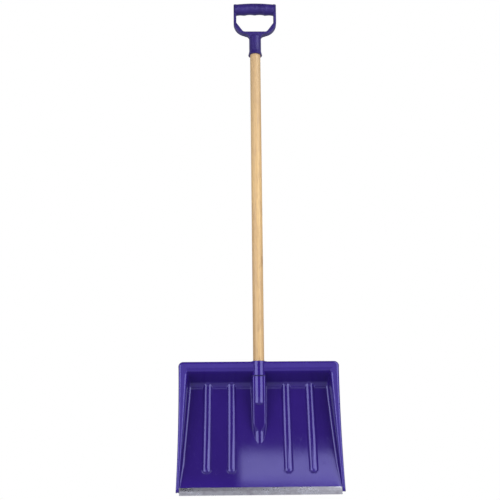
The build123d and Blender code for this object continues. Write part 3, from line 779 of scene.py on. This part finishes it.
def grip_plastic():
    """Satin moulded polypropylene with a fine grained skin, rubbed a little smoother on the bar."""
    look = Finish("grip_plastic", Specular_IOR_Level=0.6, Specular_Tint=(0.55, 0.55, 1.0, 1))
    cloud = look.noise(22, detail=4.0)
    colour = look.ramp(cloud, [(0.3, (0.020, 0.0105, 0.104)), (0.7, (0.027, 0.0145, 0.134))])
    mark = look.scratches(140, (0.4, 0.3, 0.0), 0.012, 0.5)
    colour = look.mix(look.math("MULTIPLY", mark, 0.35), colour, (0.14, 0.11, 0.30, 1))
    rubbed = look.band(look.axis(2), *RUBBED_HEIGHTS, 0.0, -0.06)
    rough = look.math("ADD", look.band(look.noise(70, detail=5.0), 0.3, 0.7, 0.34, 0.46), rubbed)
    grain = look.bump(look.noise(900, detail=2.0), 0.25, 0.0003)
    return look.done(colour, rough, look.bump(look.noise(120, detail=2.0), 0.12, 0.0004, grain))


def shaft_wood():
    """Pale straight-grained wood under a thin clear coat: bands, fibres, mottling, and painted shade down
    the shaft's left side.
    """
    look = Finish("shaft_wood", Coat_Weight=0.18, Coat_Roughness=0.3)
    broad = look.noise(34, (1, 1, 0.035), 3.0, 0.5, 0.6)
    colour = look.ramp(broad, [(0.30, (0.44, 0.27, 0.115)), (0.43, (0.60, 0.385, 0.165)),
                               (0.54, (0.69, 0.47, 0.205)), (0.72, (0.56, 0.345, 0.138))])
    tint = look.noise(11, (1, 1, 0.18), 2.0)
    colour = look.mix(look.band(tint, 0.42, 0.66, 0.0, 0.65), colour, (0.55, 0.36, 0.20, 1))
    fibre = look.noise(420, (1, 1, 0.02), 3.0, 0.6)
    colour = look.mix(look.band(fibre, 0.44, 0.70, 0.0, 0.50), colour, (0.38, 0.21, 0.095, 1))
    pore = look.band(look.noise(900, (1, 1, 0.03), 1.0), 0.66, 0.74)
    colour = look.mix(look.math("MULTIPLY", pore, 0.65), colour, (0.24, 0.125, 0.055, 1))
    # painted shade: the shaft's left side darker, with a wavering edge, for the side away from the light
    wander = look.band(look.noise(24, (1, 1, 0.3), 3.0), 0.3, 0.7, -0.009, 0.009)
    painted_side_shade = look.band(look.math("ADD", look.axis(0), wander), *PAINTED_SIDE_SHADE_ACROSS, 0.36, 0.0)
    colour = look.mix(painted_side_shade, colour, (0.48, 0.31, 0.16, 1))
    mottle = look.band(look.noise(95, (1, 1, 0.22), 4.0, 0.65), 0.48, 0.66, 0.0, 0.5)
    colour = look.mix(mottle, colour, (0.42, 0.26, 0.14, 1))
    knot = look.band(look.noise(30, (1, 1, 0.5), 3.0, 0.6), 0.63, 0.71, 0.0, 0.6)
    colour = look.mix(knot, colour, (0.33, 0.185, 0.085, 1))
    pale = look.band(look.noise(60, (1, 1, 0.04), 2.0, 0.5, 0.3), 0.6, 0.7, 0.0, 0.35)
    colour = look.mix(pale, colour, (0.82, 0.60, 0.32, 1))
    handled = look.band(look.axis(2), *HANDLED_HEIGHTS, 0.0, 0.55)
    colour = look.mix(handled, colour, (0.47, 0.33, 0.175, 1))
    rough = look.band(look.noise(200, (1, 1, 0.05), 3.0), 0.3, 0.7, 0.42, 0.58)
    normal = look.bump(fibre, 0.18, 0.0003)
    return look.done(colour, rough, look.bump(pore, -0.25, 0.0003, normal))


def edge_aluminium():
    """Extruded aluminium, dulled in patches, with lengthwise die lines, cross scratches and dark scuffs."""
    look = Finish("edge_aluminium", Metallic=1.0)
    patch = look.noise(46, (0.55, 1, 1), 5.0, 0.65)
    colour = look.ramp(patch, [(0.3, (0.24, 0.235, 0.28)), (0.47, (0.37, 0.37, 0.43)),
                               (0.62, (0.52, 0.53, 0.62))])
    dirt = look.band(look.noise(130, (0.4, 1, 1.6), 4.0, 0.7), 0.56, 0.7, 0.0, 0.30)
    colour = look.mix(dirt, colour, (0.17, 0.165, 0.18, 1))
    scratch = look.math("MAXIMUM", look.scratches(120, (0, 0.3, 0), 0.012, 0.52),
                        look.scratches(170, (0, -0.9, 0), 0.012, 0.55))
    colour = look.mix(look.math("MULTIPLY", scratch, 0.28), colour, (0.74, 0.74, 0.78, 1))
    lines = look.noise(900, (0.01, 1, 1), 2.0)
    rough = look.math("ADD", look.band(patch, 0.3, 0.65, 0.42, 0.20), look.math("MULTIPLY", dirt, 0.2))
    normal = look.bump(lines, 0.25, 0.0002)
    return look.done(colour, rough, look.bump(scratch, -0.3, 0.0002, normal))


def screw_steel():
    """Zinc plating with a fine spangle and slight dulling."""
    look = Finish("screw_steel", Metallic=1.0)
    spangle = look.noise(650, detail=3.0)
    colour = look.ramp(spangle, [(0.3, (0.42, 0.42, 0.43)), (0.7, (0.66, 0.66, 0.66))])
    rough = look.band(look.noise(300, detail=4.0), 0.3, 0.7, 0.24, 0.42)
    return look.done(colour, rough, look.bump(spangle, 0.15, 0.0002))


LOOKS = {"blade": blade_plastic(), "grip": grip_plastic(), "shaft": shaft_wood(),
         "wear_edge": edge_aluminium()}
STEEL = screw_steel()
for name, node in nodes.items():
    node.data.materials.clear()
    node.data.materials.append(LOOKS.get(name, STEEL))
for piece in blade_pieces:
    piece.data.materials.append(LOOKS["blade"])
